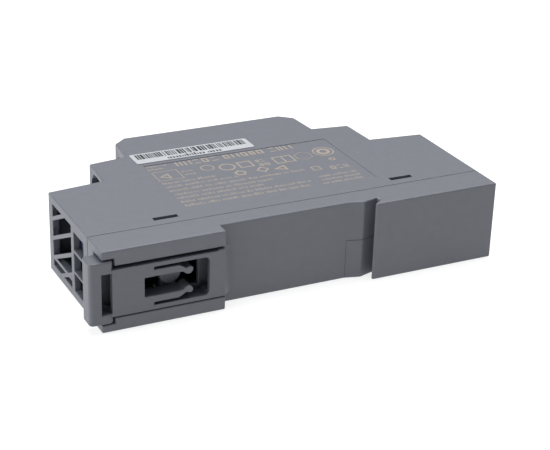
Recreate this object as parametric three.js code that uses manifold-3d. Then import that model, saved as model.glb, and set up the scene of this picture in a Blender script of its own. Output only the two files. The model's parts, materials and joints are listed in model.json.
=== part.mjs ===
// A one-module power supply that clips on a 35 mm DIN rail, as an assembly of separate pieces.
// Millimetres. It lies on one flat side: +X runs along its 90 mm length, -Y is the rail side,
// +Y is the front with the narrow nose, and +Z is its 17.5 mm thickness.
import * as THREE from "three";
import { mergeVertices } from "three/addons/utils/BufferGeometryUtils.js";
import Module from "manifold-3d";

const wasm = await Module();
wasm.setup();

// ---- Driving dimensions ----

const LENGTH = 90; // case, along X
const THICK = 17.5; // one 17.5 mm module, along Z
const DEPTH = 54.5; // lips of the rail side to the nose, along Y
const WALL = 1.5;
const GAP = 0.3; // clearance between neighbouring pieces
const FINE = 0.2; // clearance where a seam should read as a hairline

const HALF = LENGTH / 2;
const SEAM = 7.7; // the front housing meets the rear base here, along Y
const BASE_TOP = 31.6; // shoulder of the wide part at its outer end
const STEP_X = 32.4; // the terminal step starts here
const STEP_TOP = 42.8; // shoulder of the terminal step at its outer end
const NOSE_X = 23.1; // the nose starts here
const NOSE_TOP = 52; // the nose's side walls end in a chamfer here

// Rail side
const RAIL_FLOOR = 3; // floor of the rail recess
const LIP_END = -18.7; // the clip block ends and the rail recess starts
const HOOK_X = 15.3; // corner of the fixed hook's lip
const HOOK_BACK = 17.4; // bottom of the slot behind the fixed hook
const CHANNEL_FLOOR = 4.4; // floor of the channel that the latch slides in
const HEAD_STEP = -42.3; // the channel is wider for the latch's head beyond this

// Latch
const LATCH_FACE = -0.3; // the latch stands a little proud of the lips
const LATCH_BACK = 3.1; // back of the latch plate
const LATCH_MID = 8.45; // centre of the latch's window, along Z
const LATCH_OUT = 2.6; // the head overhangs the end of the case by this
const HEAD_X = -42.6; // the head ends here

// Terminals
const POLE_Z = [4.85, 12.65]; // centre of each pole
const SCREW_X = 24.3; // screw axis, from the middle of the case
const SCREW_HOLE = 2.9; // radius of the screwdriver access hole
const HOLE_TOP = 50; // the access groove in the nose's wall ends here
const BLOCK = { x0: 20.9, x1: 30.1, y0: 31.9, y1: 40.9, z0: 1.7, z1: 15.8 };
const CAGE = { half: 2.3, y0: 32.8, height: 5.25, floor: 0.7, roof: 1.25, side: 0.7 };
const CAGE_TRAVEL = 2.25;
const BAR = { y0: 35.95, y1: 36.65, half: 1.15 }; // contact bar inside the cage
const WIRE_Y = 35; // centre of the wire entry in the terminal block

// Circuit board
const BOARD_BACK = 2.6;
const BOARD_FACE = 4.2;
const PART_Z = BOARD_FACE + GAP; // lowest point of a component's body
const BOARD_X = 43.2;
const BOARD_Y0 = 12.6;

// Front of the nose
const LED = { x: -8, z: 7.6, lens: 1.3, hole: 1.6 };
const TRIMMER = { x: 6, z: 7.6, rotor: 1.9, hole: 2.3 };

const PLASTIC = "#6b6e78";

// ---- Solids from three.js geometry ----

// A closed three.js geometry as a manifold-3d solid.
function solid(geometry) {
  const bare = new THREE.BufferGeometry();
  bare.setAttribute("position", geometry.getAttribute("position"));
  bare.setIndex(geometry.index);
  const merged = mergeVertices(bare, 1e-4);
  const corners = merged.index.array;
  const kept = [];
  for (let i = 0; i < corners.length; i += 3) {
    const [a, b, c] = corners.slice(i, i + 3);
    if (a !== b && b !== c && c !== a) kept.push([a, b, c]);
  }
  const vertProperties = new Float32Array(merged.attributes.position.array);
  const build = (faces) => {
    const triVerts = new Uint32Array(faces.flat());
    return new wasm.Manifold(new wasm.Mesh({ numProp: 3, vertProperties, triVerts }));
  };
  const made = build(kept);
  // A profile drawn the other way round comes out facing inwards, so its faces are turned.
  return made.volume() > 0 ? made : build(kept.map(([a, b, c]) => [a, c, b]));
}

// A box between two corners.
function box(x0, x1, y0, y1, z0, z1) {
  const geometry = new THREE.BoxGeometry(x1 - x0, y1 - y0, z1 - z0);
  geometry.translate((x0 + x1) / 2, (y0 + y1) / 2, (z0 + z1) / 2);
  return solid(geometry);
}

// An outline pulled along an axis. The points are [x, y] for z, [y, z] for x and [x, z] for y.
function extrude(axis, points, from, to) {
  const ordered = axis === "y" ? points.map(([x, z]) => [z, x]) : points;
  const shape = new THREE.Shape(ordered.map(([a, b]) => new THREE.Vector2(a, b)));
  const geometry = new THREE.ExtrudeGeometry(shape, { depth: to - from, bevelEnabled: false });
  geometry.translate(0, 0, from);
  const x = new THREE.Vector3(1, 0, 0);
  const y = new THREE.Vector3(0, 1, 0);
  const z = new THREE.Vector3(0, 0, 1);
  const turn = new THREE.Matrix4();
  if (axis === "x") turn.makeBasis(y, z, x);
  if (axis === "y") turn.makeBasis(z, x, y);
  return solid(geometry.applyMatrix4(turn));
}

// The points of a circle, for extrude.
function circle(a, b, radius, sides = 24) {
  const points = [];
  for (let i = 0; i < sides; i++) {
    const angle = (2 * Math.PI * i) / sides;
    points.push([a + radius * Math.cos(angle), b + radius * Math.sin(angle)]);
  }
  return points;
}

// A rectangle with rounded corners, for extrude.
function rounded(a0, a1, b0, b1, radius, steps = 4) {
  const centres = [
    [a1 - radius, b1 - radius],
    [a0 + radius, b1 - radius],
    [a0 + radius, b0 + radius],
    [a1 - radius, b0 + radius],
  ];
  return centres.flatMap(([a, b], quarter) => {
    const arc = [];
    for (let i = 0; i <= steps; i++) {
      const angle = (Math.PI / 2) * (quarter + i / steps);
      arc.push([a + radius * Math.cos(angle), b + radius * Math.sin(angle)]);
    }
    return arc;
  });
}

// A cylinder along an axis; a and b are its centre in extrude's order of coordinates.
function rod(axis, a, b, radius, from, to, sides = 24) {
  return extrude(axis, circle(a, b, radius, sides), from, to);
}

// A body turned about a line along X, Y or Z; profile points are [radius, place along the line],
// and a and b are the line's other two coordinates.
function turned(axis, profile, a, b, sides = 24) {
  const points = profile.map(([radius, along]) => new THREE.Vector2(radius, along));
  const geometry = new THREE.LatheGeometry(points, sides);
  if (axis === "x") geometry.rotateZ(-Math.PI / 2).translate(0, a, b);
  if (axis === "z") geometry.rotateX(Math.PI / 2).translate(a, b, 0);
  if (axis === "y") geometry.translate(a, 0, b);
  return solid(geometry);
}

const joined = (solids) => solids.reduce((whole, piece) => whole.add(piece));
const mirrorPoints = (points) => [...points].reverse().map(([x, y]) => [-x, y]);

const pieces = new THREE.Group();

// A named mesh from a solid, with its own material.
function addPiece(name, body, color, roughness = 0.6, metalness = 0) {
  const made = body.getMesh();
  const geometry = new THREE.BufferGeometry();
  geometry.setAttribute("position", new THREE.BufferAttribute(made.vertProperties, 3));
  geometry.setIndex(new THREE.BufferAttribute(made.triVerts, 1));
  geometry.computeVertexNormals();
  const material = new THREE.MeshStandardMaterial({ color, roughness, metalness });
  const mesh = new THREE.Mesh(geometry, material);
  mesh.name = name;
  pieces.add(mesh);
}

// ---- Front housing: a shell that is open at the rail side ----

// The +X half of the stepped outline, from the seam to the nose; inset moves it inwards.
function halfOutline(inset, seam) {
  return [
    [HALF - inset, seam],
    [HALF - inset, BASE_TOP - inset],
    [STEP_X - inset, 33 - inset],
    [STEP_X - 0.5 - inset, STEP_TOP - inset],
    [NOSE_X - inset, 44 - inset],
    [NOSE_X - 0.6 - inset, NOSE_TOP - inset],
    [NOSE_X - 3.6 - inset, DEPTH - inset],
  ];
}

function caseOutline(inset, seam) {
  const half = halfOutline(inset, seam);
  return [...half, ...mirrorPoints(half)];
}

// Vent grille at one end: three windows beside the seam and a bay with slanted ribs.
const VENT = { y0: 10.2, bar0: 16.1, bar1: 17.6, y1: 29.2, z0: 1.8, z1: 15.8 };
const VENT_WINDOWS = [
  [1.8, 5.8],
  [6.3, 10.4],
  [11, 15],
];
const SHELF = { z0: 3.3, z1: 4.1 }; // level shelf across the foot of the slanted ribs
const RIB = { slope: 0.49, pitch: 4.46, first: 12.4, thick: 1, count: 4 };

function ventCuts(side) {
  const [x0, x1] = [side * HALF - 2, side * HALF + 2];
  const windows = VENT_WINDOWS.map(([z0, z1]) => box(x0, x1, VENT.y0, VENT.bar0, z0, z1));
  return joined([...windows, box(x0, x1, VENT.bar1, VENT.y1, VENT.z0, VENT.z1)]);
}

function ventRibs(side) {
  const inner = side * (HALF - WALL);
  const outer = side * HALF;
  const [x0, x1] = [Math.min(inner, outer), Math.max(inner, outer)];
  const [y0, y1] = [VENT.bar1 - 0.2, VENT.y1 + 0.2];
  const rise = RIB.slope * (y1 - y0);
  const half = RIB.thick / 2;
  const ribs = [];
  for (let i = 0; i < RIB.count; i++) {
    const z = RIB.first - RIB.pitch * i;
    const corners = [
      [y1, z - half],
      [y1, z + half],
      [y0, z + rise + half],
      [y0, z + rise - half],
    ];
    ribs.push(extrude("x", corners, x0, x1));
  }
  const slanted = joined(ribs).intersect(box(x0, x1, y0, y1, VENT.z0 - 0.2, VENT.z1 + 0.2));
  return slanted.add(box(x0, x1, y0, y1, SHELF.z0, SHELF.z1));
}

// Snap windows that the base's hooks catch in, on both flat sides.
const SNAP = { x0: 24.7, x1: 30, y0: 10, y1: 11.3 };

function snapWindows() {
  const windows = [];
  for (const side of [-1, 1]) {
    const ends = [side * SNAP.x0, side * SNAP.x1].sort((a, b) => a - b);
    windows.push(box(...ends, SNAP.y0, SNAP.y1, -1, WALL + 1));
    windows.push(box(...ends, SNAP.y0, SNAP.y1, THICK - WALL - 1, THICK + 1));
  }
  return joined(windows);
}

// The wide mouth in the end wall of the terminal step that a wire goes in through.
const MOUTH = { y0: 33.9, y1: 41.2, half: 3.5, radius: 2.4 };

function frontHousing() {
  let shell = extrude("z", caseOutline(0, SEAM + FINE / 2), 0, THICK);
  shell = shell.subtract(extrude("z", caseOutline(WALL, SEAM - 1), WALL, THICK - WALL));
  for (const side of [-1, 1]) {
    for (const z of POLE_Z) {
      const shroud = rod("y", side * SCREW_X, z, SCREW_HOLE + 0.9, STEP_TOP - 1.4, HOLE_TOP + 0.9);
      const inside = extrude("z", caseOutline(0.2, SEAM), 0.2, THICK - 0.2);
      shell = shell.add(shroud.intersect(inside));
    }
    for (const z of POLE_Z) {
      shell = shell.subtract(rod("y", side * SCREW_X, z, SCREW_HOLE, STEP_TOP - 3, HOLE_TOP));
      const mouth = rounded(MOUTH.y0, MOUTH.y1, z - MOUTH.half, z + MOUTH.half, MOUTH.radius);
      const ends = [side * (STEP_X - 3), side * (STEP_X + 1)].sort((a, b) => a - b);
      shell = shell.subtract(extrude("x", mouth, ...ends));
    }
    shell = shell.subtract(ventCuts(side)).add(ventRibs(side));
  }
  for (const [x, y] of STANDOFFS) {
    shell = shell.add(rod("z", x, y, 1.5, WALL - 0.2, BOARD_BACK - FINE, 16));
  }
  shell = shell.subtract(snapWindows());
  shell = shell.subtract(rod("y", LED.x, LED.z, LED.hole, DEPTH - 3, DEPTH + 1));
  shell = shell.subtract(rod("y", TRIMMER.x, TRIMMER.z, TRIMMER.hole, DEPTH - 3, DEPTH + 1));
  return shell.subtract(box(...LABEL_PANEL.x, ...LABEL_PANEL.y, THICK - LABEL_PANEL.deep, THICK + 1));
}

// The faintly recessed panel for the printed ratings, and the bar code label above it.
const LABEL_PANEL = { x: [-21.6, 22.7], y: [13, 37.2], deep: 0.12 };
const STICKER = { x: [-22.4, 5.8], y: [38.4, 43.9], off: 0.03, thick: 0.1 };
const STANDOFFS = [
  [-41.4, 21.5],
  [41.4, 21.5],
  [-16, 39.5],
  [16, 39.5],
];

// ---- Rear base: closes the case and carries the rail hook and the latch ----

// A tall tongue at each end of the base blinds the vent windows beside the seam.
const BAFFLE = { z0: 4.6, z1: 15.6 };
const FLOOR_OPENINGS = [
  [-35.2, -31],
  [-27.8, -22.9],
];

function rearBase() {
  const top = SEAM - FINE / 2;
  const outline = [
    [-HALF, top],
    [-HALF, 0],
    [LIP_END, 0],
    [LIP_END, RAIL_FLOOR],
    [10.2, RAIL_FLOOR],
    [13.7, 2.1],
    [HOOK_BACK - 0.4, 3.1],
    [HOOK_BACK, 2],
    [HOOK_X, 0.35],
    [HOOK_X + 0.4, 0],
    [HALF, 0],
    [HALF, top],
  ];
  const [x, z0, z1] = [HALF - WALL - 0.25, WALL + 0.25, THICK - WALL - 0.25];
  let base = extrude("z", outline, 0, THICK);
  base = base.add(box(-x, x, top - 1, top + 1.6, z0, z1));
  const hollow = [
    [-HALF + WALL, CHANNEL_FLOOR + 1.3],
    [LIP_END + 0.4, CHANNEL_FLOOR + 1.3],
    [LIP_END + 1.6, RAIL_FLOOR + 1.5],
    [19.1, RAIL_FLOOR + 1.5],
    [19.1, WALL],
    [HALF - WALL, WALL],
    [HALF - WALL, top - 1.2],
    [-HALF + WALL, top - 1.2],
  ];
  base = base.subtract(extrude("z", hollow, WALL, THICK - WALL));
  base = base.subtract(box(-x + 1, x - 1, top - 1.3, top + 3, z0 + 1, z1 - 1));
  for (const side of [-1, 1]) {
    const ends = [side * (SNAP.x0 + GAP), side * (SNAP.x1 - GAP)].sort((a, b) => a - b);
    const hook = [SNAP.y0 + GAP, SNAP.y1 - GAP];
    base = base.add(box(...ends, top, SNAP.y1 + 0.9, z1 - 1, z1));
    base = base.add(box(...ends, top, SNAP.y1 + 0.9, z0, z0 + 1));
    base = base.add(box(...ends, ...hook, z1 - 0.5, THICK - 0.6));
    base = base.add(box(...ends, ...hook, 0.6, z0 + 0.5));
  }
  for (const side of [-1, 1]) {
    const ends = [side * x, side * (x - 1)].sort((a, b) => a - b);
    base = base.add(box(...ends, top, VENT.bar0 - 0.2, BAFFLE.z0, BAFFLE.z1));
  }
  const out = -HALF - 1;
  base = base.subtract(box(out, LIP_END + 1e-3, -1, CHANNEL_FLOOR, 3, 14.1));
  base = base.subtract(box(out, LIP_END + 1e-3, 1.6, CHANNEL_FLOOR, 2, 15.3));
  base = base.subtract(box(out, HEAD_STEP, -1, CHANNEL_FLOOR, 1.7, 15.7));
  // The channel's floor is open behind the latch's window, on both sides of the post's rib.
  for (const [x0, x1] of FLOOR_OPENINGS) {
    base = base.subtract(box(x0, x1, CHANNEL_FLOOR - 0.1, CHANNEL_FLOOR + 1.6, 4.7, 12.4));
  }
  return base.add(rod("y", -29.4, 8.75, 2.4, LATCH_BACK + GAP, CHANNEL_FLOOR + 0.5));
}

// ---- Latch: the sliding foot with its grip head, spring fingers and nose ----

const WINDOW = { x0: -36.2, wide: -34.2, x1: -22.4, narrow: 2.07, half: 4.15, corner: 1 };

function latchWindow() {
  const upper = [
    [WINDOW.x0, WINDOW.narrow],
    [WINDOW.wide, WINDOW.narrow],
    [WINDOW.wide, WINDOW.half],
  ];
  for (let i = 0; i <= 4; i++) {
    const angle = (Math.PI / 2) * (1 - i / 4);
    const [x, z] = [WINDOW.x1 - WINDOW.corner, WINDOW.half - WINDOW.corner];
    upper.push([x + WINDOW.corner * Math.cos(angle), z + WINDOW.corner * Math.sin(angle)]);
  }
  const lower = [...upper].reverse().map(([x, z]) => [x, -z]);
  return [...upper, ...lower].map(([x, z]) => [x, LATCH_MID + z]);
}

// A spring finger beside the window: a straight leg, then a bump that snaps over the post.
function fingerOutline(side) {
  const leg = [
    [WINDOW.wide - 0.5, 3.55],
    [-29, 3.55],
    [-28.1, 3.1],
    [-27.4, 2.65],
    [-26.8, 2.85],
    [-26.2, 2.8],
    [-25.9, 2.4],
    [-26, 1.9],
    [-26.4, 1.4],
    [-26.9, 1.25],
    [-27.4, 1.4],
    [-28.1, 1.95],
    [-29.1, 2.1],
    [WINDOW.wide - 0.5, 2.1],
  ];
  return leg.map(([x, z]) => [x, LATCH_MID + side * z]);
}

function dinLatch() {
  const end = LIP_END - GAP;
  const plate = [
    [HEAD_X - 0.5, 3.3],
    [end, 3.3],
    [end, 13.5],
    [HEAD_X - 0.5, 13.5],
  ];
  let latch = extrude("y", plate, LATCH_FACE, LATCH_BACK);
  latch = latch.subtract(extrude("y", latchWindow(), LATCH_FACE - 1, LATCH_BACK + 1));
  for (const side of [-1, 1]) {
    latch = latch.add(extrude("y", fingerOutline(side), LATCH_FACE, LATCH_BACK));
  }
  const back = CHANNEL_FLOOR - GAP;
  // Pockets behind the plate leave thin walls beside the window and the screwdriver slot.
  latch = latch.subtract(box(WINDOW.x1 - 0.1, end - 1.7, 0.9, back, LATCH_MID - 3.6, LATCH_MID + 3.6));
  latch = latch.add(box(HEAD_X + 0.7, end, 1.9, back, 2.3, 3.6));
  latch = latch.add(box(HEAD_X + 0.7, end, 1.9, back, 13.4, 15));
  const nose = [
    [end - 1.5, LATCH_FACE],
    [end, LATCH_FACE],
    [LIP_END + 1.3, 1],
    [LIP_END + 1.3, 1.75],
    [end, 1.75],
    [end - 1.5, LATCH_BACK],
  ];
  latch = latch.add(extrude("z", nose, 3.5, 13.7));
  const head = rounded(-HALF - LATCH_OUT, HEAD_X, LATCH_FACE, back, 0.9);
  latch = latch.add(extrude("z", head, 2, 15.4));
  latch = latch.subtract(box(-45, -42.9, LATCH_FACE - 1, back + 1, 4.1, 12.7));
  return latch.subtract(box(-43, -39.8, 0.9, back + 1, 4.1, 12.7));
}

// ---- Circuit board and its components ----

// Each pin is [x, y]; the board has a hole for it and the component a leg through it.
const PINS = {
  fuse: [[35.4, 27], [40.4, 27]],
  varistor: [[31.5, 23.4], [31.5, 28.4]],
  x_capacitor: [[31, 16], [40.6, 16]],
  choke: [[19.3, 21.5], [25.7, 21.5], [19.3, 28.5], [25.7, 28.5]],
  bridge_rectifier: [[21.5, 14], [27.2, 14], [21.5, 18.6], [27.2, 18.6]],
  power_controller: [[11.6, 14.2], [17.2, 14.2], [11.6, 20.4], [17.2, 20.4]],
  input_capacitor_1: [[8.7, 25.2], [13.7, 25.2]],
  input_capacitor_2: [[-2, 27.2], [3, 27.2]],
  transformer: [[-6.2, 14], [-6.2, 22.6], [7.4, 14], [7.4, 22.6]],
  y_capacitor: [[-6.9, 28.6], [-6.9, 35]],
  optocoupler: [[-14.6, 28.2], [-9.6, 28.2], [-14.6, 31], [-9.6, 31]],
  output_rectifier: [[-12, 15], [-12, 17.5], [-12, 20]],
  output_capacitor_1: [[-25.2, 14.65], [-25.2, 18.15]],
  output_capacitor_2: [[-25.2, 23.85], [-25.2, 27.35]],
  output_inductor: [[-15.6, 33], [-10.6, 33]],
};
const PIN_RADIUS = 0.35;
const TAILS = [
  { x0: 19.2, x1: 20.5 },
  { x0: 16.9, x1: 18.2 },
]; // solder tail of the contact of each pole, mirrored at the other end

function legs(name) {
  return joined(PINS[name].map(([x, y]) => rod("z", x, y, PIN_RADIUS, 2.25, PART_Z + 0.4, 8)));
}

function mainBoard() {
  const half = [
    [BOARD_X - 1.5, BOARD_Y0],
    [BOARD_X - 1.5, VENT.bar1],
    [BOARD_X, VENT.bar1],
    [BOARD_X, 29.8],
    [BLOCK.x0 - GAP, 29.8],
    [BLOCK.x0 - GAP, 41],
    [19.6, 41],
    [19.6, 50.6],
  ];
  let board = extrude("z", [...half, ...mirrorPoints(half)], BOARD_BACK, BOARD_FACE);
  const holes = Object.values(PINS).flat();
  const drills = holes.map(([x, y]) => rod("z", x, y, PIN_RADIUS + GAP, 2, 5, 8));
  board = board.subtract(joined(drills));
  for (const side of [-1, 1]) {
    for (const tail of TAILS) {
      const ends = [side * (tail.x0 - GAP), side * (tail.x1 + GAP)].sort((a, b) => a - b);
      board = board.subtract(box(...ends, BAR.y0 - GAP, BAR.y1 + GAP, 2, 5));
    }
  }
  return board;
}

// Thin film between the solder side and the flat wall, cut clear of the standoffs.
function insulationSheet() {
  const half = [
    [BOARD_X - 0.2, BOARD_Y0],
    [BOARD_X - 0.2, 29.6],
    [BLOCK.x0 - 0.6, 29.6],
    [BLOCK.x0 - 0.6, 43.5],
  ];
  let sheet = extrude("z", [...half, ...mirrorPoints(half)], WALL + 0.15, WALL + 0.35);
  for (const [x, y] of STANDOFFS) {
    sheet = sheet.subtract(rod("z", x, y, 1.5 + GAP, 1, 3, 16));
  }
  return sheet;
}

// An electrolytic capacitor lying down: rolled groove near its sealed end.
function canProfile(radius, from, to) {
  const dir = Math.sign(to - from);
  return [
    [0, from],
    [radius - 0.5, from],
    [radius, from + 0.5 * dir],
    [radius, from + 1.6 * dir],
    [radius - 0.45, from + 2.1 * dir],
    [radius, from + 2.6 * dir],
    [radius, to - 0.4 * dir],
    [radius - 0.4, to],
    [0, to],
  ];
}

// A lying capacitor's legs leave its sealed end and bend down to the board.
function bentLegs(name, toX, toY, z) {
  return joined(
    PINS[name].map(([x, y]) => {
      const down = rod("z", x, y, PIN_RADIUS, 2.25, z + PIN_RADIUS, 8);
      const [x0, x1] = [Math.min(x, toX ?? x) - PIN_RADIUS, Math.max(x, toX ?? x) + PIN_RADIUS];
      const [y0, y1] = [Math.min(y, toY ?? y) - PIN_RADIUS, Math.max(y, toY ?? y) + PIN_RADIUS];
      return down.add(box(x0, x1, y0, y1, z - PIN_RADIUS, z + PIN_RADIUS));
    }),
  );
}

function addCapacitors() {
  const z = PART_Z + 5.1;
  for (const [name, x, y] of [["input_capacitor_1", 11.2, 26], ["input_capacitor_2", 0.5, 28]]) {
    const can = turned("y", canProfile(5, y, y + 15), x, z);
    addPiece(name, can.add(bentLegs(name, null, y + 0.3, z)), "#2b2b33", 0.4);
  }
  const low = PART_Z + 4.6;
  for (const [name, y] of [["output_capacitor_1", 16.4], ["output_capacitor_2", 25.6]]) {
    const can = turned("x", canProfile(4.5, -26, -40), y, low);
    addPiece(name, can.add(bentLegs(name, -26.3, null, low)), "#26324a", 0.4);
  }
}

function addTransformer() {
  const [x, y] = [0.6, 18.3];
  // Two E-shaped ferrite halves drawn as one closed frame round the bobbin.
  const frame = box(x - 8, x + 8, y - 2.4, y + 2.4, PART_Z + 0.4, PART_Z + 10.9);
  const hole = box(x - 5.6, x + 5.6, y - 3, y + 3, PART_Z + 2.4, PART_Z + 8.9);
  const leg = box(x - 2, x + 2, y - 2.4, y + 2.4, PART_Z + 2, PART_Z + 9.2);
  addPiece("transformer_core", frame.subtract(hole).add(leg), "#2a2a2c", 0.5);
  // The bobbin stands between the legs of the core, with a flange at each end.
  const [b0, b1] = [PART_Z + 2.65, PART_Z + 8.65];
  const reach = 5.3;
  const flange = (z0, z1) => box(x - reach, x + reach, y - reach, y + reach, z0, z1);
  const tube = box(x - 3, x + 3, y - 3.4, y + 3.4, b0, b1);
  const spool = joined([flange(b0, b0 + 0.7), flange(b1 - 0.7, b1), tube]);
  const bore = box(x - 2.25, x + 2.25, y - 2.65, y + 2.65, b0 - 1, b1 + 1);
  const bobbin = spool.subtract(bore);
  addPiece("transformer_bobbin", bobbin, "#3b3226", 0.6);
  const [w0, w1] = [b0 + 0.9, b1 - 0.9];
  const coil = extrude("z", rounded(x - 5, x + 5, y - 5, y + 5, 1.5), w0, w1);
  const room = box(x - 3.2, x + 3.2, y - 3.6, y + 3.6, w0 - 1, w1 + 1);
  addPiece("transformer_winding", coil.subtract(room), "#d8b43a", 0.5);
  const base = joined([
    box(-7.4, -5.4, 12.8, 15.4, PART_Z, PART_Z + 0.2),
    box(-7.4, -5.4, 21.2, 23.8, PART_Z, PART_Z + 0.2),
    box(6.6, 8.6, 12.8, 15.4, PART_Z, PART_Z + 0.2),
    box(6.6, 8.6, 21.2, 23.8, PART_Z, PART_Z + 0.2),
    box(-7.4, 8.6, 12.8, 13.4, PART_Z, PART_Z + 0.2),
    box(-7.4, 8.6, 23.2, 23.8, PART_Z, PART_Z + 0.2),
    box(-7.4, -6.4, 12.8, 23.8, PART_Z, PART_Z + 0.2),
  ]);
  addPiece("transformer_pin_frame", base.add(legs("transformer")), "#3b3226", 0.6);
}

function addChoke() {
  const [x, y, z0] = [22.5, 25, PART_Z + 0.6];
  const tube = (outer, inner, from, to) =>
    rod("z", x, y, outer, from, to).subtract(rod("z", x, y, inner, from - 1, to + 1));
  addPiece("choke_core", tube(4.7, 2.9, z0 + 0.7, z0 + 6.2), "#3f5a44", 0.6);
  const sleeve = tube(5.4, 2.2, z0, z0 + 6.9).subtract(tube(4.95, 2.65, z0 + 0.45, z0 + 6.45));
  const ends = [
    ["choke_winding_1", box(x - 7, x - 1.2, y - 7, y + 7, 0, THICK)],
    ["choke_winding_2", box(x + 1.2, x + 7, y - 7, y + 7, 0, THICK)],
  ];
  ends.forEach(([name, half], i) => {
    const posts = PINS.choke.filter((pin) => (i ? pin[0] > x : pin[0] < x));
    const wires = posts.map(([a, b]) => rod("z", a, b, PIN_RADIUS, 2.25, z0 + 0.4, 8));
    addPiece(name, joined([sleeve.intersect(half), ...wires]), "#b06a32", 0.4, 0.5);
  });
}

function addSmallParts() {
  const can = turned("z", canProfile(4.1, PART_Z, PART_Z + 7.5), 37.9, 25.4);
  addPiece("fuse", can.add(legs("fuse")), "#3a2a24", 0.5);
  const disc = rod("x", 25.9, PART_Z + 5, 4.6, 29.8, 33.2);
  const lugs = PINS.varistor.map(([x, y]) => rod("z", x, y, PIN_RADIUS, 2.25, PART_Z + 3, 8));
  addPiece("varistor", joined([disc, ...lugs]), "#2f6fb0", 0.5);
  const film = box(29.6, 42.2, 13.2, 18.9, PART_Z, PART_Z + 10.6);
  addPiece("x_capacitor", film.add(legs("x_capacitor")), "#c8b78a", 0.5);
  const bridge = box(20.6, 28.1, 13, 19.4, PART_Z, PART_Z + 3.1);
  addPiece("bridge_rectifier", bridge.add(legs("bridge_rectifier")), "#202022", 0.5);
  const chip = box(10.4, 18.4, 13.2, 21.4, PART_Z, PART_Z + 3.4);
  addPiece("power_controller", chip.add(legs("power_controller")), "#202022", 0.5);
  const pill = rod("x", 31.8, PART_Z + 4.4, 4, -8.4, -5.4);
  const feet = PINS.y_capacitor.map(([x, y]) => rod("z", x, y, PIN_RADIUS, 2.25, PART_Z + 3, 8));
  addPiece("y_capacitor", joined([pill, ...feet]), "#3c78c0", 0.5);
  const opto = box(-15.6, -8.6, 27.2, 32, PART_Z, PART_Z + 3.3);
  addPiece("optocoupler", opto.add(legs("optocoupler")), "#e6e3da", 0.5);
  const drum = rod("x", 36.6, PART_Z + 3.4, 3.2, -16.2, -10);
  const rims = rod("x", 36.6, PART_Z + 3.4, 3.4, -16.2, -15.6);
  const stalks = PINS.output_inductor.map(([x, y]) =>
    joined([
      rod("z", x, y, PIN_RADIUS, 2.25, PART_Z + 3.4, 8),
      box(x - 0.35, x + 0.35, y - 0.35, 35, PART_Z + 2.7, PART_Z + 3.4),
    ]),
  );
  addPiece("output_inductor", joined([drum, rims, ...stalks]), "#303034", 0.5);
  const body = box(-13.9, -9.6, 13, 22, PART_Z, PART_Z + 9.6);
  addPiece("output_rectifier", body.add(legs("output_rectifier")), "#202022", 0.5);
  let sink = box(-15.6, -14.2, 13, 25.6, PART_Z, PART_Z + 11);
  for (let i = 0; i < 4; i++) {
    const y = 13 + 3.8 * i;
    sink = sink.add(box(-18.6, -15.4, y, y + 1.2, PART_Z, PART_Z + 11));
  }
  addPiece("rectifier_heat_sink", sink, "#b9bcc0", 0.4, 0.9);
}

function addNoseParts() {
  const led = turned(
    "y",
    [
      [0, 46.6],
      [1.7, 46.6],
      [1.7, 47.4],
      [1.45, 47.4],
      [1.45, 49],
      [0.9, 49.8],
      [0, 50],
    ],
    LED.x,
    LED.z,
    20,
  );
  const leads = [-0.9, 0.9].map((x) =>
    box(LED.x + x - 0.25, LED.x + x + 0.25, 46, 46.8, PART_Z, LED.z + 0.25),
  );
  addPiece("status_led", joined([led, ...leads]), "#3fae5a", 0.3);
  const pipe = turned(
    "y",
    [
      [0, 50.4],
      [1.9, 50.4],
      [1.9, 51.4],
      [LED.lens, 51.4],
      [LED.lens, DEPTH - 0.4],
      [LED.lens - 0.3, DEPTH - 0.1],
      [0, DEPTH - 0.1],
    ],
    LED.x,
    LED.z,
    20,
  );
  addPiece("led_light_pipe", pipe, "#dfe9e2", 0.15);
  const [x, z] = [TRIMMER.x, TRIMMER.z];
  const cup = rod("y", x, z, TRIMMER.rotor + 0.25, 49.6, 52);
  const body = box(x - 3.3, x + 3.3, 46, 50.6, PART_Z, z + 3.3).subtract(cup);
  addPiece("trimmer_body", body, "#2d5fa8", 0.5);
  const dial = rod("y", x, z, TRIMMER.rotor, 49.9, 52.4);
  const slot = box(x - 3, x + 3, 51.6, 53, z - 0.35, z + 0.35);
  addPiece("trimmer_rotor", dial.subtract(slot), "#e8e4d8", 0.5);
}

// ---- Terminals ----

function terminalBlock(side) {
  let block = box(BLOCK.x0, BLOCK.x1, BLOCK.y0, BLOCK.y1, BLOCK.z0, BLOCK.z1);
  const half = CAGE.half + GAP;
  const roof = CAGE.y0 + CAGE.height + CAGE_TRAVEL + FINE;
  for (const z of POLE_Z) {
    const [x0, x1] = [SCREW_X - half, SCREW_X + half];
    block = block.subtract(box(x0, x1, CAGE.y0 - GAP, roof, z - half, z + half));
    block = block.subtract(rod("y", SCREW_X, z, 1.5 + GAP, roof - 1, BLOCK.y1 + 1));
    const slot = [BAR.y0 - FINE, BAR.y1 + FINE, z - BAR.half - FINE, z + BAR.half + FINE];
    block = block.subtract(box(BLOCK.x0 - 1, BLOCK.x1 - 1.7, ...slot));
    const funnel = turned(
      "x",
      [
        [0, x1 - 0.5],
        [1.5, x1 - 0.5],
        [1.5, x1 + 1],
        [2.9, BLOCK.x1 + 0.5],
        [0, BLOCK.x1 + 0.5],
      ],
      WIRE_Y,
      z,
    );
    block = block.subtract(funnel);
  }
  return side > 0 ? block : block.mirror([1, 0, 0]);
}

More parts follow.
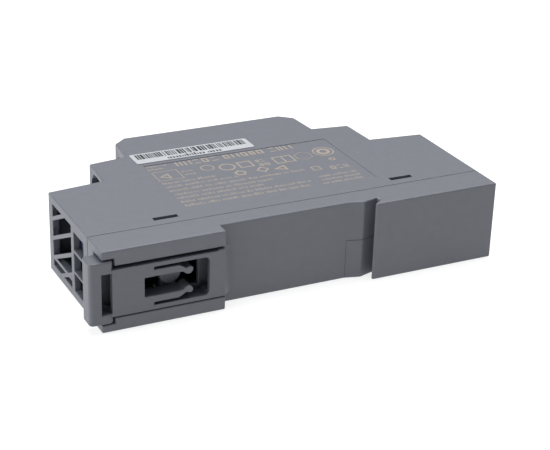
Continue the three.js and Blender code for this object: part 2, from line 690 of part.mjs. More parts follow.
function terminalCage(side, z) {
  const [x0, x1] = [SCREW_X - CAGE.half, SCREW_X + CAGE.half];
  const top = CAGE.y0 + CAGE.height;
  const sleeve = box(x0, x1, CAGE.y0, top, z - CAGE.half, z + CAGE.half);
  const inside = CAGE.half - CAGE.side;
  const passage = [CAGE.y0 + CAGE.floor, top - CAGE.roof, z - inside, z + inside];
  const cage = sleeve
    .subtract(box(x0 - 1, x1 + 1, ...passage))
    .subtract(rod("y", SCREW_X, z, 1.25 + GAP, top - 2, top + 1));
  return side > 0 ? cage : cage.mirror([1, 0, 0]);
}

// A captive M3 screw: its tip stops above the contact bar, its head has a cross recess.
function terminalScrew(side, z) {
  const head = BLOCK.y1 + FINE;
  const x = side * SCREW_X;
  const profile = [
    [0, BAR.y1 + GAP],
    [1, BAR.y1 + GAP],
    [1.25, BAR.y1 + GAP + 0.3],
    [1.25, head],
    [2.45, head],
    [2.45, head + 1.2],
    [2, head + 1.7],
    [0, head + 1.7],
  ];
  const recess = (dx, dz) => box(x - dx, x + dx, head + 0.6, head + 2, z - dz, z + dz);
  return turned("y", profile, x, z).subtract(recess(1.9, 0.35)).subtract(recess(0.35, 1.2));
}

// A flat stamped contact: the bar inside the cage and a tail down to the board.
function terminalContact(side, z, tail) {
  const end = SCREW_X + CAGE.half + GAP;
  const outline = [
    [end, z - BAR.half],
    [end, z + BAR.half],
    [tail.x0, z + BAR.half],
    [tail.x0, 2.25],
    [tail.x1, 2.25],
    [tail.x1, z - BAR.half],
  ];
  const placed = outline.map(([x, height]) => [side * x, height]);
  return extrude("y", placed, BAR.y0, BAR.y1);
}

function addTerminals() {
  const ends = [
    ["output", -1],
    ["input", 1],
  ];
  for (const [name, side] of ends) {
    addPiece(`terminal_block_${name}`, terminalBlock(side), "#3a3c42", 0.6);
    POLE_Z.forEach((z, i) => {
      const label = `${name}_${i + 1}`;
      addPiece(`terminal_screw_${label}`, terminalScrew(side, z), "#c9ccd0", 0.3, 1);
      addPiece(`terminal_cage_${label}`, terminalCage(side, z), "#b8b49a", 0.35, 1);
      addPiece(`terminal_contact_${label}`, terminalContact(side, z, TAILS[i]), "#c8a866", 0.35, 1);
    });
  }
}

// ---- The assembly ----

addPiece("front_housing", frontHousing(), PLASTIC, 0.55);
addPiece("rear_base", rearBase(), PLASTIC, 0.55);
addPiece("din_latch", dinLatch(), PLASTIC, 0.55);
const paper = THICK + STICKER.off;
addPiece("barcode_label", box(...STICKER.x, ...STICKER.y, paper, paper + STICKER.thick), "#e9e9ea", 0.5);
addPiece("main_pcb", mainBoard(), "#2f6b3c", 0.5);
addPiece("insulation_sheet", insulationSheet(), "#d9d4c4", 0.5);
addCapacitors();
addTransformer();
addChoke();
addSmallParts();
addNoseParts();
addTerminals();

// The origin is at the middle of the underside, so the case length and the latch's overhang set it.
pieces.position.set(LATCH_OUT / 2, -(DEPTH + LATCH_FACE) / 2, 0);

const powerSupply = new THREE.Group();
powerSupply.add(pieces);
export default powerSupply;
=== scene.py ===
# %% [markdown]
# # A power supply for a 35 mm DIN rail
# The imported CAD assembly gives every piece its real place, size and joint.
# This lesson gives the pieces their looks: soft moulded edges, a printed ratings panel,
# a bar code label, turned and stamped metal, and a material for each thing the real maker used.
# The frame is loaded first, because every piece made later rides on one of its bodies.

# %% Load the frame
import json
import random
from math import radians

import bmesh
import bpy
from mathutils import Matrix, Vector
from mathutils.bvhtree import BVHTree

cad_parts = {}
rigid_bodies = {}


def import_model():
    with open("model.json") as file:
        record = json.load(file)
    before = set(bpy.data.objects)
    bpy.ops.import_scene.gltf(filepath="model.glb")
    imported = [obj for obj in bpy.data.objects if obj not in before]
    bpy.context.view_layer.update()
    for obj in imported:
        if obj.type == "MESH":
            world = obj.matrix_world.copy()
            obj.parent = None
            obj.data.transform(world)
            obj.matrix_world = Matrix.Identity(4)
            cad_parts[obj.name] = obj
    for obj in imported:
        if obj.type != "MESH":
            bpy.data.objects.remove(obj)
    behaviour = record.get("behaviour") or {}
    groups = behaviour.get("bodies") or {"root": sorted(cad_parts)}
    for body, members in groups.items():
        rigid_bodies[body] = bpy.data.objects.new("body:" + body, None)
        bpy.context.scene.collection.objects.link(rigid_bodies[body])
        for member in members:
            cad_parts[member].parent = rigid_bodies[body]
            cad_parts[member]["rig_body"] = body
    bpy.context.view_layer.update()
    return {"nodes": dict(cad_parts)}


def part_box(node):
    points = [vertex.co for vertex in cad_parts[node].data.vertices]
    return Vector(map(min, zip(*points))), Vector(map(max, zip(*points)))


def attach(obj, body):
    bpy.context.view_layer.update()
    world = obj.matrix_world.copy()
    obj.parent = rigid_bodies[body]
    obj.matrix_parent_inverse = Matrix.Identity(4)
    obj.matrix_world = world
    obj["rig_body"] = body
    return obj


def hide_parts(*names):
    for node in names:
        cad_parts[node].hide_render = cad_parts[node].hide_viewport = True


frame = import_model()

MM = 0.001

# %% [markdown]
# ## Where things are
# The print and the label are laid out from the case itself, so their millimetres start at
# the middle of the case's length, at the face of the rail side and at the underside.
# Reading that point from two CAD nodes keeps the layout right if the case is ever moved.

# %% The case's own starting point
case_low, case_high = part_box("front_housing")
base_low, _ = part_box("rear_base")
START = Vector(((case_low.x + case_high.x) / 2, base_low.y, case_low.z))


def at(x, y, z=0.0):
    """A point in the row frame from millimetres along the case."""
    return START + Vector((x, y, z)) * MM


THICK = (case_high.z - case_low.z) / MM
print("case", [round(v / MM, 2) for v in case_high - case_low], "mm")

# %% [markdown]
# ## Colours and nodes
# Swatch books and paint codes give colours as sRGB values, and a shader wants linear light,
# so one function turns a hex value into the shader's numbers.
# A second one adds a node with its settings and its links in a single line,
# which keeps each material short enough to read as a recipe.


# %% Helpers for materials
def linear(code):
    """A hex sRGB colour as linear red, green, blue and alpha."""
    parts = [int(code[i : i + 2], 16) / 255 for i in (1, 3, 5)]
    return [p / 12.92 if p <= 0.04045 else ((p + 0.055) / 1.055) ** 2.4 for p in parts] + [1]


def add(tree, kind, settings=None, links=None):
    """Adds a shader node, sets its sockets or properties, and links sockets into its inputs."""
    node = tree.nodes.new("ShaderNode" + kind)
    for key, value in (settings or {}).items():
        if isinstance(key, int) or key in node.inputs:
            node.inputs[key].default_value = value
        else:
            setattr(node, key, value)
    for key, socket in (links or {}).items():
        tree.links.new(socket, node.inputs[key])
    return node


def new_material(name, color, **settings):
    """A material whose Principled shader holds every value that is the same all over."""
    material = bpy.data.materials.new(name)
    material.use_nodes = True
    shader = material.node_tree.nodes["Principled BSDF"]
    shader.inputs["Base Color"].default_value = linear(color)
    for key, value in settings.items():
        shader.inputs[key.replace("_", " ")].default_value = value
    return material


# %% [markdown]
# ## Grain
# No moulded, rolled or sprayed surface is perfectly even. A steel mould is spark eroded to a fine
# grain, a metal sheet keeps the marks of its rolls, and a dipped coat dries with a skin.
# All of these are small bumps that also vary the gloss and, a little, the shade.
# Noise in object coordinates gives them a real size in millimetres, and stretching it along one
# axis turns the same noise into brush or roll marks.


# %% Grain for any material
def grain(material, size, height, rough, shade=0.0, stretch=(1, 1, 1), detail=3.0):
    """Bumps `size` mm across and `height` mm high, with roughness between the two given values."""
    tree = material.node_tree
    shader = tree.nodes["Principled BSDF"]
    place = add(tree, "TexCoord").outputs["Object"]
    placed = add(tree, "Mapping", {"Scale": stretch}, {"Vector": place}).outputs["Vector"]
    noise = add(tree, "TexNoise", {"Scale": 1 / (size * MM), "Detail": detail}, {"Vector": placed})
    bump = add(tree, "Bump", {"Distance": height * MM}, {"Height": noise.outputs["Fac"]})
    tree.links.new(bump.outputs["Normal"], shader.inputs["Normal"])
    gloss = add(
        tree, "MapRange",
        {"From Min": 0.3, "From Max": 0.7, "To Min": rough[0], "To Max": rough[1]},
        {"Value": noise.outputs["Fac"]},
    )
    tree.links.new(gloss.outputs["Result"], shader.inputs["Roughness"])
    if shade:
        # Broad, faint clouds of shade, ten grains wide, as in any batch of coloured granules.
        clouds = add(tree, "TexNoise", {"Scale": 0.1 / (size * MM)}, {"Vector": placed})
        mixed = add(
            tree, "Math", {"operation": "ADD"}, {0: noise.outputs["Fac"], 1: clouds.outputs["Fac"]}
        )
        value = add(
            tree, "MapRange",
            {"From Min": 0.7, "From Max": 1.3, "To Min": 1 - shade, "To Max": 1 + shade},
            {"Value": mixed.outputs["Value"]},
        )
        socket = shader.inputs["Base Color"]
        hue = add(
            tree, "HueSaturation", {"Color": socket.default_value[:]},
            {"Value": value.outputs["Result"]},
        )
        tree.links.new(hue.outputs["Color"], socket)
    return material


# %% [markdown]
# ## Case plastic
# The case, its base and the rail latch are moulded in blue-grey flame-retardant polycarbonate.
# Its mould is spark eroded, so the light that falls on it spreads into a soft, even sheen, and
# only rounded edges catch a line of highlight. The true grain is about 0.05 mm, too fine to show
# at this distance, so it is drawn at 0.22 mm. Polycarbonate has an index of refraction of 1.58.

# %% Polycarbonate
case_plastic = grain(
    new_material("spark_eroded_polycarbonate", "#5a5d65", IOR=1.58),
    size=0.22, height=0.006, rough=(0.42, 0.58), shade=0.045,
)
latch_plastic = grain(
    new_material("spark_eroded_polycarbonate_latch", "#52555d", IOR=1.58),
    size=0.2, height=0.005, rough=(0.38, 0.52), shade=0.04,
)
print("case plastic", [round(v, 3) for v in linear("#5a5d65")[:3]])

# %% [markdown]
# ## Label stock and inks
# The ratings are pad printed in an ochre ink, which lies on the plastic as a thin matt film.
# The bar code label is coated polyester: whiter and smoother than the case, with black
# thermal-transfer bars that have a waxy gloss.

# %% Print
ochre_ink = grain(
    new_material("pad_printed_ochre_ink", "#8f857b", IOR=1.5),
    size=0.12, height=0.002, rough=(0.5, 0.7), shade=0.12,
)
label_stock = grain(
    new_material("coated_polyester_label", "#a9acb0", IOR=1.5),
    size=0.3, height=0.001, rough=(0.35, 0.45), shade=0.01,
)
label_ink = grain(
    new_material("thermal_transfer_ink", "#232327", IOR=1.5),
    size=0.15, height=0.001, rough=(0.3, 0.45), shade=0.1,
)

# %% [markdown]
# ## Metals
# The terminal screws are steel with a clear zinc plating: bright, slightly blue and a little
# uneven. The cages are pressed from zinc-plated strip, with roll marks along it, and the contact
# bars are tinned brass. The rectifier's heat sink is extruded aluminium, with die lines.

# %% Metals
zinc_steel = grain(
    new_material("clear_zinc_plated_steel", "#c3c7cd", Metallic=1.0),
    size=0.35, height=0.002, rough=(0.22, 0.38), shade=0.05,
)
cage_steel = grain(
    new_material("zinc_plated_steel_strip", "#bdb9a6", Metallic=1.0),
    size=0.5, height=0.002, rough=(0.28, 0.42), shade=0.05, stretch=(0.2, 2, 2),
)
tinned_brass = grain(
    new_material("tinned_brass_strip", "#cdbb8c", Metallic=1.0),
    size=0.4, height=0.002, rough=(0.25, 0.4), shade=0.06, stretch=(0.25, 2, 2),
)
extruded_aluminium = grain(
    new_material("extruded_aluminium", "#c9cbce", Metallic=1.0),
    size=0.4, height=0.003, rough=(0.3, 0.45), shade=0.04, stretch=(2, 2, 0.1),
)
enamelled_copper = grain(
    new_material(
        "enamelled_copper_wire", "#b5652f", Metallic=0.85, Coat_Weight=0.6, Coat_Roughness=0.15
    ),
    size=0.5, height=0.003, rough=(0.25, 0.4), shade=0.08,
)

# %% [markdown]
# ## Plastics and coats inside the case
# The terminal blocks are glass-filled nylon, which is dark and slightly glossy. Moulded chips
# are matt black epoxy. Dipped discs have a thick glossy epoxy coat that hangs in soft lumps, so
# its noise is large and smooth.

# %% Plastics and coats
block_nylon = grain(
    new_material("glass_filled_nylon", "#303238", IOR=1.53),
    size=0.25, height=0.005, rough=(0.38, 0.5), shade=0.06,
)
epoxy_black = grain(
    new_material("moulded_black_epoxy", "#1c1c1f", IOR=1.55),
    size=0.18, height=0.004, rough=(0.5, 0.65), shade=0.08,
)
epoxy_white = grain(
    new_material("moulded_white_epoxy", "#dedbd2", IOR=1.55),
    size=0.18, height=0.003, rough=(0.45, 0.6), shade=0.03,
)
dipped_blue = grain(
    new_material("dipped_blue_epoxy", "#2b62a3", IOR=1.55, Coat_Weight=0.5, Coat_Roughness=0.1),
    size=1.6, height=0.05, rough=(0.22, 0.34), shade=0.06, detail=1.0,
)
film_box = grain(
    new_material("polypropylene_film_capacitor_box", "#b9a878", IOR=1.5),
    size=0.3, height=0.004, rough=(0.4, 0.55), shade=0.04,
)
fuse_plastic = grain(
    new_material("moulded_brown_thermoset", "#43281f", IOR=1.55),
    size=0.25, height=0.004, rough=(0.35, 0.5), shade=0.06,
)
bobbin_resin = grain(
    new_material("phenolic_bobbin_resin", "#33281f", IOR=1.6),
    size=0.3, height=0.004, rough=(0.4, 0.55), shade=0.06,
)
trimmer_blue = grain(
    new_material("trimmer_body_nylon", "#2c5ea6", IOR=1.53),
    size=0.2, height=0.003, rough=(0.32, 0.45), shade=0.04,
)
trimmer_white = grain(
    new_material("trimmer_dial_polyester", "#e6e2d6", IOR=1.56),
    size=0.2, height=0.003, rough=(0.35, 0.5), shade=0.03,
)
# The film's near-black colour is partly its own and partly painted shade, darkened so that the
# inside of the case looks deep.
shade_darkened_film = grain(
    new_material("insulating_film_darkened_as_painted_shade", "#232427", IOR=1.5),
    size=0.4, height=0.004, rough=(0.45, 0.6), shade=0.05, stretch=(0.4, 2, 2),
)
ferrite = grain(
    new_material("sintered_ferrite", "#2b2b2e", IOR=2.3),
    size=0.25, height=0.012, rough=(0.45, 0.7), shade=0.15,
)

# %% [markdown]
# ## Sleeved capacitors
# An aluminium can is shrunk into a PVC sleeve, which is glossy, and has a paler stripe down the
# side of the negative leg. The stripe is a band of the object's own coordinates, so it stays put
# as the piece moves.


# %% Sleeves with a stripe
def sleeve(name, color, stripe, across, centre, width):
    """Glossy PVC with one stripe `width` mm wide round `centre` mm of the axis number `across`."""
    material = grain(
        new_material(name, color, IOR=1.54, Coat_Weight=0.4, Coat_Roughness=0.12),
        size=0.8, height=0.006, rough=(0.24, 0.36), shade=0.05,
    )
    tree = material.node_tree
    shader = tree.nodes["Principled BSDF"]
    place = add(tree, "TexCoord").outputs["Object"]
    split = add(tree, "SeparateXYZ", links={"Vector": place})
    band = add(
        tree, "Math", {"operation": "COMPARE", 1: centre * MM, 2: width / 2 * MM},
        {0: split.outputs[across]},
    )
    # Sockets 6 and 7 of a colour mix are the colours that it goes between.
    mix = add(
        tree, "Mix", {"data_type": "RGBA", 7: linear(stripe)},
        {0: band.outputs["Value"], 6: shader.inputs["Base Color"].links[0].from_socket},
    )
    tree.links.new(mix.outputs[2], shader.inputs["Base Color"])
    return material


can_black = sleeve("sleeved_capacitor_black", "#26262d", "#8f9096", 0, 4.0, 2.2)
can_blue = sleeve("sleeved_capacitor_blue", "#22304c", "#9aa0ac", 1, -8.0, 2.0)
winding_tape = sleeve("polyester_winding_tape", "#c8952c", "#b07d20", 2, 9.6, 1.2)
print(len(bpy.data.materials), "materials so far")

# %% [markdown]
# ## Circuit board
# The board is glass-epoxy laminate under green solder mask. The weave shows faintly through the
# mask as one set of waves, from a 0.6 mm yarn pitch, and the copper under it makes paler lanes,
# which a stretched noise with a hard step draws well enough for a board that is seen edge on.

# %% Solder mask over laminate
# The mask's dark green is partly its own colour and partly painted shade, darkened so that the
# inside of the case looks deep.
shade_darkened_solder_mask = grain(
    new_material(
        "solder_mask_darkened_as_painted_shade", "#102a1c", IOR=1.55, Coat_Weight=0.5, Coat_Roughness=0.2
    ),
    size=0.3, height=0.003, rough=(0.3, 0.45), shade=0.05,
)
tree = shade_darkened_solder_mask.node_tree
shader = tree.nodes["Principled BSDF"]
place = add(tree, "TexCoord").outputs["Object"]
lane = add(tree, "Mapping", {"Scale": (0.35, 1.6, 1)}, {"Vector": place})
islands = add(
    tree, "TexNoise", {"Scale": 260.0, "Detail": 0.0}, {"Vector": lane.outputs["Vector"]}
)
copper = add(
    tree, "Math", {"operation": "GREATER_THAN", 1: 0.52}, {0: islands.outputs["Fac"]}
)
weave = add(
    tree, "TexWave", {"Scale": 1 / (0.6 * MM) / 20, "Distortion": 0.5}, {"Vector": place}
)
lighter = add(
    tree, "MapRange", {"To Min": 0.92, "To Max": 1.3}, {"Value": copper.outputs["Value"]}
)
mask_color = shader.inputs["Base Color"].links[0].from_socket
masked = add(
    tree, "HueSaturation", {}, {"Value": lighter.outputs["Result"], "Color": mask_color}
)
woven = add(
    tree, "Mix", {"data_type": "RGBA", "blend_type": "MULTIPLY", 0: 0.08},
    {6: masked.outputs["Color"], 7: weave.outputs["Color"]},
)
tree.links.new(woven.outputs[2], shader.inputs["Base Color"])

# %% [markdown]
# ## Lamp and light pipe
# The lamp is green-tinted epoxy, and the pipe in front of it is clear acrylic. Both let light
# through, so they get transmission, and a faint grain keeps their faces from looking like water.

# %% Clear plastics
lamp_epoxy = grain(
    new_material("green_diffused_epoxy", "#4fc46a", IOR=1.52, Transmission_Weight=0.5),
    size=0.4, height=0.002, rough=(0.2, 0.3), shade=0.03,
)
clear_acrylic = grain(
    new_material("moulded_clear_acrylic", "#e9f2ec", IOR=1.49, Transmission_Weight=0.85),
    size=0.5, height=0.001, rough=(0.08, 0.16), shade=0.01,
)

# %% [markdown]
# ## Soft edges on every piece
# A mould's edges are never razor sharp, and nor are those of a stamped or sintered piece. The
# light line along an edge is what tells the eye how big a thing is. Each CAD node is copied, its
# loose triangles merged and its flat faces made whole. Then every outward edge gets a bevel
# weight, and a Bevel modifier rounds it. An edge that looks into the case stays sharp, because
# nobody sees it. A thin wall or a shallow step gets a smaller radius, so no bevel eats it up.


# %% Rounded copies of CAD nodes
def merged_copy(node):
    """A bmesh of a CAD node, with its triangles merged and its flat faces whole."""
    bm = bmesh.new()
    bm.from_mesh(frame["nodes"][node].data)
    bmesh.ops.remove_doubles(bm, verts=bm.verts, dist=0.002 * MM)
    bmesh.ops.dissolve_limit(bm, angle_limit=radians(0.5), verts=bm.verts, edges=bm.edges)
    return bm


def add_piece(name, bm, body, material):
    """Turns a bmesh into a piece that rides on a body."""
    mesh = bpy.data.meshes.new(name)
    bm.to_mesh(mesh)
    bm.free()
    mesh.materials.append(material)
    piece = bpy.data.objects.new(name, mesh)
    bpy.context.scene.collection.objects.link(piece)
    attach(piece, body)
    return piece


def weigh_edges(bm, radius, zones):
    """Gives each outward edge its share of the radius, and marks the other corners sharp."""
    layer = bm.edges.layers.float.new("bevel_weight_edge")
    around = BVHTree.FromBMesh(bm)
    count = 0
    for edge in bm.edges:
        if not edge.is_manifold or edge.calc_face_angle() < radians(28):
            continue
        edge.smooth = False
        middle = (edge.verts[0].co + edge.verts[1].co) / 2
        outward = (edge.link_faces[0].normal + edge.link_faces[1].normal).normalized()
        seen = around.ray_cast(middle + outward * 0.02 * MM, outward)[0] is None
        if edge.calc_face_angle_signed() < 0 or not seen:
            continue
        height = min(face.calc_area() for face in edge.link_faces) / edge.calc_length()
        share = min(1, 0.3 * height / radius)
        for low, high, scale in zones:
            if all(low[i] <= middle[i] <= high[i] for i in range(3)):
                share = min(share, scale)
        edge[layer] = share
        edge.smooth = True
        count += 1
    return count


def rounded_copy(node, radius, material, zones=(), segments=3):
    """Replaces a CAD node with a copy whose outward edges are rounded to `radius` mm."""
    bm = merged_copy(node)
    count = weigh_edges(bm, radius * MM, zones)
    for face in bm.faces:
        face.smooth = True
    body = frame["nodes"][node]["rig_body"]
    piece = add_piece(node + "_finished", bm, body, material)
    bevel = piece.modifiers.new("soft_edges", "BEVEL")
    bevel.width = radius * MM
    bevel.segments = segments
    bevel.limit_method = "WEIGHT"
    bevel.use_clamp_overlap = False
    normals = piece.modifiers.new("flat_faces", "WEIGHTED_NORMAL")
    normals.keep_sharp = True
    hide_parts(node)
    print(f"{node}: {len(piece.data.polygons)} faces, {count} rounded edges")
    return piece


# %% [markdown]
# ## Case, base and latch
# The front housing's corners are rounded to about 0.35 mm. The snap windows and the vents are
# cut by thin steel blades in the mould, so their edges are crisper. The base has the same
# corners, but a small one along the seam, where it meets the housing with a hairline gap.
# The latch's head takes the thumb, so its edges are soft, and its flat plate is crisper.

# %% The three moulded pieces
ends = [(at(-46, 9, 1), at(-44, 30, 17), 0.4), (at(44, 9, 1), at(46, 30, 17), 0.4)]
snaps = [(at(-31, 9.5, -1), at(31, 11.8, 19), 0.3)]
seam = [(at(-46, 7, -1), at(46, 8.4, 19), 0.35)]
rounded_copy("front_housing", 0.35, case_plastic, ends + snaps + seam)
rounded_copy("rear_base", 0.32, case_plastic, seam)
plate = [(at(-41.8, -1, 0), at(-17, 5, 18), 0.4)]
rounded_copy("din_latch", 0.32, latch_plastic, plate)

# %% [markdown]
# ## The pieces inside
# Each component keeps its CAD shape, with the edge radius that its own process leaves: about a
# tenth of a millimetre on stamped metal, a little more on moulded and dipped pieces.

# %% Components, terminals and board
FINISHES = {
    "main_pcb": (0.06, shade_darkened_solder_mask, "board"),
    "insulation_sheet": (0.03, shade_darkened_film, "film"),
    "input_capacitor_1": (0.3, can_black, "can_black"),
    "input_capacitor_2": (0.3, can_black, "can_black"),
    "output_capacitor_1": (0.3, can_blue, "can_blue"),
    "output_capacitor_2": (0.3, can_blue, "can_blue"),
    "transformer_core": (0.25, ferrite, "ferrite"),
    "transformer_bobbin": (0.12, bobbin_resin, "bobbin"),
    "transformer_winding": (0.3, winding_tape, "winding_tape"),
    "transformer_pin_frame": (0.05, bobbin_resin, "bobbin"),
    "choke_core": (0.3, ferrite, "ferrite"),
    "choke_winding_1": (0.12, enamelled_copper, "enamelled_wire"),
    "choke_winding_2": (0.12, enamelled_copper, "enamelled_wire"),
    "fuse": (0.3, fuse_plastic, "fuse_body"),
    "varistor": (0.6, dipped_blue, "varistor_coat"),
    "x_capacitor": (0.4, film_box, "film_capacitor_box"),
    "bridge_rectifier": (0.2, epoxy_black, "epoxy_black"),
    "power_controller": (0.2, epoxy_black, "epoxy_black"),
    "y_capacitor": (0.6, dipped_blue, "varistor_coat"),
    "optocoupler": (0.2, epoxy_white, "white_epoxy"),
    "output_inductor": (0.3, ferrite, "ferrite"),
    "output_rectifier": (0.2, epoxy_black, "epoxy_black"),
    "rectifier_heat_sink": (0.15, extruded_aluminium, "heat_sink"),
    "status_led": (0.1, lamp_epoxy, "led_green"),
    "led_light_pipe": (0.1, clear_acrylic, "light_pipe"),
    "trimmer_body": (0.15, trimmer_blue, "trimmer_blue"),
    "trimmer_rotor": (0.12, trimmer_white, "trimmer_white"),
    "terminal_block_input": (0.2, block_nylon, "terminal_plastic"),
    "terminal_block_output": (0.2, block_nylon, "terminal_plastic"),
}
for end in ("input", "output"):
    for pole in "12":
        FINISHES[f"terminal_screw_{end}_{pole}"] = (0.15, zinc_steel, "screw_steel")
        FINISHES[f"terminal_cage_{end}_{pole}"] = (0.12, cage_steel, "cage_steel")
        FINISHES[f"terminal_contact_{end}_{pole}"] = (0.08, tinned_brass, "contact_brass")
for node, (radius, material, slot) in FINISHES.items():
    rounded_copy(node, radius, material)

# %% [markdown]
# ## Flat print
# Print is a film a few hundredths of a millimetre thick, so flat shapes laid just above the
# plastic stand for it. Bars are one grid face each, and an outline is a disc or a square that is
# inset and then loses its middle. Everything is drawn in millimetres in one mesh and moved into
# place once, at the end.


# %% Shapes for print
def add_bar(bm, x0, x1, y0, y1):
    """A flat bar between two corners."""
    verts = bmesh.ops.create_grid(bm, x_segments=1, y_segments=1, size=0.5)["verts"]
    bmesh.ops.scale(bm, vec=(x1 - x0, y1 - y0, 1), verts=verts)
    bmesh.ops.translate(bm, vec=((x0 + x1) / 2, (y0 + y1) / 2, 0), verts=verts)
    return verts[0].link_faces[0]


def add_outline(bm, sides, x, y, radius, stroke, turn=0.0, squash=1.0):
    """A ring, triangle, square or other regular outline, drawn with a line `stroke` wide."""
    place = Matrix.Translation((x, y, 0)) @ Matrix.Diagonal((1, squash, 1, 1))
    place = place @ Matrix.Rotation(turn, 4, "Z")
    verts = bmesh.ops.create_circle(bm, cap_ends=True, segments=sides, radius=radius, matrix=place)
    hollow(bm, verts["verts"][0].link_faces[0], stroke)


def hollow(bm, face, stroke):
    """Leaves only a border `stroke` wide of a face."""
    bmesh.ops.inset_region(
        bm, faces=[face], thickness=stroke, use_even_offset=True, use_boundary=True
    )
    bmesh.ops.delete(bm, geom=[face], context="FACES")


def put_on_case(bm, height):
    """Moves a mesh drawn in millimetres to a height over the case's underside."""
    matrix = Matrix.Translation(at(0, 0, height)) @ Matrix.Scale(MM, 4)
    bmesh.ops.transform(bm, matrix=matrix, verts=bm.verts)


def lay_print(name, bm, height, material):
    """Adds flat print as a piece that rides on the case, facing up."""
    put_on_case(bm, height)
    for face in bm.faces:
        if face.normal.z < 0:
            face.normal_flip()
    print(name, len(bm.faces), "faces")
    return add_piece(name, bm, "case", material)


# %% [markdown]
# ## Ratings panel
# The real panel carries a type name, approval marks and ratings. Here they are only a pattern:
# rows of plain strokes in word-like groups, and simple outlines where the marks were. The rows
# keep the real heights and lengths, so the panel reads as fine print from arm's length and as
# nothing at all close up. The strokes are seeded, so every run draws the same ones.


# %% Rows of strokes and plain outlines
chance = random.Random(35)


def add_words(bm, x0, x1, y, height, stroke, gap):
    """A row of upright strokes of uneven height, in groups like words."""
    x = x0
    while x < x1 - stroke:
        for _ in range(chance.randint(4, 14)):
            tall = height * chance.choice((0.66, 0.66, 0.7, 1.0))
            wide = stroke * chance.choice((1.0, 1.0, 1.7))
            if x + wide > x1:
                break
            add_bar(bm, x, x + wide, y - height / 2, y - height / 2 + tall)
            x += wide + gap * chance.uniform(0.8, 1.5)
        x += gap * 2.5


def add_heading(bm, x0, x1, y, height, stroke, gap):
    """A row of larger plain marks: pairs of strokes, pairs of dashes and open frames."""
    x = x0
    low, high = y - height / 2, y + height / 2
    while x < x1 - gap:
        for _ in range(chance.randint(3, 5)):
            wide = height * chance.uniform(0.55, 0.8)
            kind = chance.choice(("strokes", "dashes", "frame"))
            if x + wide > x1:
                break
            if kind == "strokes":
                add_bar(bm, x, x + stroke, low, high)
                add_bar(bm, x + wide - stroke, x + wide, low, high)
            elif kind == "dashes":
                add_bar(bm, x, x + wide, low, low + stroke)
                add_bar(bm, x, x + wide, high - stroke, high)
            else:
                hollow(bm, add_bar(bm, x, x + wide, low, high), stroke)
            x += wide + gap
        x += gap * 1.6


PANEL_ROWS = [
    (-21.4, -8.5, 26.8),
    (-21.5, -4.5, 24.8),
    (-21.7, 10.2, 22.7),
    (-21.2, 1.7, 20.6),
    (-21.6, -1.3, 18.7),
    (-21.6, 8.6, 16.6),
    (-21.8, 7.7, 14.6),
    (11.3, 20.5, 17.9),
    (11.0, 20.5, 16.1),
    (10.4, 20.6, 14.3),
]
bm = bmesh.new()
add_heading(bm, -14.6, 15.7, 35.7, 2.2, 0.42, 0.6)
add_heading(bm, 16, 22, 21.3, 1.8, 0.32, 0.55)
add_words(bm, -21.3, -15.9, 36.4, 0.8, 0.15, 0.17)
add_words(bm, -21.4, -17.6, 34.9, 0.8, 0.15, 0.17)
for x0, x1, y in PANEL_ROWS:
    add_words(bm, x0, x1, y, 1.05, 0.17, 0.17)
hollow(bm, add_bar(bm, -21.4, -15.6, 28.2, 33.2), 0.22)
add_outline(bm, 3, -19, 30.3, 1.7, 0.4, radians(90))
add_words(bm, -15, -12.4, 31.6, 0.9, 0.15, 0.18)
add_words(bm, -15, -12.4, 29.8, 0.9, 0.15, 0.18)
add_outline(bm, 24, -9, 31.4, 1.6, 0.32)
add_outline(bm, 24, -4.8, 30.2, 1.9, 0.42)
hollow(bm, add_bar(bm, -2.2, 1.2, 28.5, 31.8), 0.42)
add_heading(bm, 2.3, 5.4, 30.9, 1.4, 0.3, 0.4)
add_heading(bm, 2.3, 5.4, 28.6, 1.4, 0.3, 0.4)
hollow(bm, add_bar(bm, 6.2, 11, 27.7, 31.5), 0.38)
add_bar(bm, 8.4, 8.8, 28.1, 31.1)
add_outline(bm, 6, 13.6, 29.8, 2.2, 0.17)
add_outline(bm, 40, 18.9, 30.5, 2.5, 0.34)
add_outline(bm, 32, 18.9, 30.5, 1.6, 0.75)
add_outline(bm, 5, -3.5, 26.1, 1.5, 0.45)
add_outline(bm, 4, 1.8, 26.1, 1.6, 0.4)
add_outline(bm, 3, 6.1, 25.3, 2.0, 0.42, radians(90), 0.8)
add_outline(bm, 5, 18.7, 25.8, 0.9, 0.35)
add_outline(bm, 4, 12.9, 22.3, 1.5, 0.3, radians(45))
PANEL_DEEP = 0.12  # the panel lies this far under the flat side
INK_LIFT = 0.02
lay_print("ratings_print", bm, THICK - PANEL_DEEP + INK_LIFT, ochre_ink)

# %% [markdown]
# ## Bar code label
# The label is die cut, so its corners are round. It is a grid face whose corners are bevelled,
# pulled up by its own 0.1 mm thickness. Its bars are plain strips of uneven width, which hold no
# code, and the row under them is dashes in place of figures.


# %% Label and bars
def move_raised(bm, raised, vec):
    """Moves the corners that an extrusion has just made."""
    corners = [v for v in raised["geom"] if isinstance(v, bmesh.types.BMVert)]
    bmesh.ops.translate(bm, vec=vec, verts=corners)


label_low, label_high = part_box("barcode_label")
low, high = (label_low - START) / MM, (label_high - START) / MM
bm = bmesh.new()
face = add_bar(bm, low.x, high.x, low.y, high.y)
bmesh.ops.bevel(
    bm, geom=list(face.verts), offset=0.5, segments=4, profile=0.5, affect="VERTICES", material=-1
)
raised = bmesh.ops.extrude_face_region(bm, geom=list(bm.faces))
move_raised(bm, raised, (0, 0, high.z - low.z))
bmesh.ops.recalc_face_normals(bm, faces=bm.faces)
put_on_case(bm, low.z)
print("label is closed:", all(edge.is_manifold for edge in bm.edges))
label = add_piece("barcode_label_sheet", bm, "case", label_stock)
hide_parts("barcode_label")

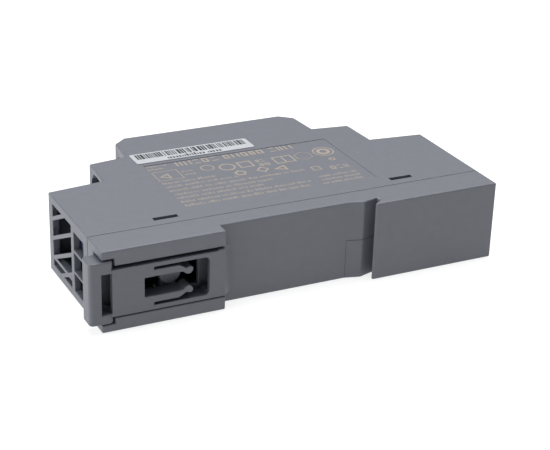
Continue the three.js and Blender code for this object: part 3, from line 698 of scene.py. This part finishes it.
bm = bmesh.new()
x = low.x + 1.0
while x < high.x - 1.2:
    wide = chance.choice((0.22, 0.24, 0.4, 0.62))
    add_bar(bm, x, x + wide, low.y + 2.3, high.y - 0.5)
    x += wide + chance.choice((0.18, 0.2, 0.26, 0.44))
add_words(bm, low.x + 7.5, high.x - 7.5, low.y + 1.2, 1.3, 0.27, 0.24)
lay_print("barcode_bars", bm, high.z + 0.015, label_ink)

# %% [markdown]
# ## Witness lines
# Where two halves of a mould meet they leave a hair-thin ridge. One crosses the ramp in front of
# the fixed rail hook at half height, and another runs down from it along the crease. Each is a
# strip that follows the surface and stands 0.03 mm proud of it, in a darker plastic that is
# painted shade, standing in for the shading along the ridge.

# %% Two mould witness lines
# The strips' dark colour is painted shade: it stands in for the shading along the fine ridges.
witness_line_painted_shade = grain(
    new_material("polycarbonate_witness_line_painted_shade", "#33363c", IOR=1.58),
    size=0.2, height=0.005, rough=(0.6, 0.75), shade=0.08,
)
ACROSS_WIDE, DOWN_WIDE = 0.16, 0.14
bm = bmesh.new()
path = [at(10.3, 2.97, 8.7), at(13.7, 2.07, 8.7), at(16.9, 3.05, 8.7)]
verts = [bm.verts.new(point) for point in path]
line = [bm.edges.new(pair) for pair in zip(verts, verts[1:])]
move_raised(bm, bmesh.ops.extrude_edge_only(bm, edges=line), (0, 0, ACROSS_WIDE * MM))
foot = [bm.verts.new(at(10.24, 2.97, z)) for z in (0.4, 8.7)]
down = bmesh.ops.extrude_edge_only(bm, edges=[bm.edges.new(foot)])
move_raised(bm, down, (DOWN_WIDE * MM, 0, 0))
for face in bm.faces:
    if face.normal.y > 0:
        face.normal_flip()
add_piece("mould_witness_lines_painted_shade", bm, "case", witness_line_painted_shade)

# %% [markdown]
# ## Studio
# The piece lies on a backlit sheet of opal acrylic, as for a catalogue picture, which drowns its
# contact shadow. One large soft light hangs over the piece and a little behind it and lights the
# flat top, and a second one stands at the left and makes the end wall and its ribs the lightest
# faces. The surround is dim, so the rail side stays darker and the openings stay deep.

# %% Floor, surround and lights
opal_acrylic = grain(
    new_material(
        "backlit_opal_acrylic", "#9d9d9e", IOR=1.49,
        Emission_Color=linear("#ffffff"), Emission_Strength=0.76,
    ),
    size=4, height=0.02, rough=(0.7, 0.85), shade=0.004,
)
bm = bmesh.new()
bmesh.ops.create_grid(bm, x_segments=8, y_segments=8, size=3.0)
mesh = bpy.data.meshes.new("floor")
bm.to_mesh(mesh)
bm.free()
mesh.materials.append(opal_acrylic)
floor = bpy.data.objects.new("floor", mesh)
bpy.context.scene.collection.objects.link(floor)

world = bpy.data.worlds.new("surround")
world.use_nodes = True
surround = world.node_tree.nodes["Background"]
surround.inputs["Color"].default_value = linear("#fbfcff")
surround.inputs["Strength"].default_value = 0.3
bpy.context.scene.world = world

SUBJECT = Vector((0.0, -0.005, 0.009))
LIGHTS = [
    ("overhead", (0.14, 0.20, 0.75), 0.8, 9.4),
    ("left", (-0.85, 0.12, 0.30), 0.9, 8.5),
]
for name, place, size, power in LIGHTS:
    lamp = bpy.data.lights.new(name, "AREA")
    lamp.shape = "SQUARE"
    lamp.size = size
    lamp.energy = power
    light = bpy.data.objects.new(name, lamp)
    bpy.context.scene.collection.objects.link(light)
    light.location = place
    light.rotation_euler = (SUBJECT - light.location).to_track_quat("-Z", "Y").to_euler()

# %% [markdown]
# ## Camera
# A long lens from the left, a little above, looks along the label side at the rail side. The
# piece fills most of the width, and the whole view leans by less than two degrees, as a
# hand-placed product often does on a turntable.

# %% Camera
eye = Vector((-131.0, -271.0, 141.7)) * MM
target = Vector((1.95, -9.95, 8.1)) * MM
lens = bpy.data.cameras.new("camera")
lens.lens = 98.3
lens.sensor_width = 36
lens.clip_start = 0.01
camera = bpy.data.objects.new("camera", lens)
bpy.context.scene.collection.objects.link(camera)
look = (target - eye).to_track_quat("-Z", "Y").to_matrix().to_4x4()
camera.matrix_world = Matrix.Translation(eye) @ look @ Matrix.Rotation(radians(1.86), 4, "Z")
bpy.context.scene.camera = camera
bpy.context.scene.view_settings.view_transform = "Standard"
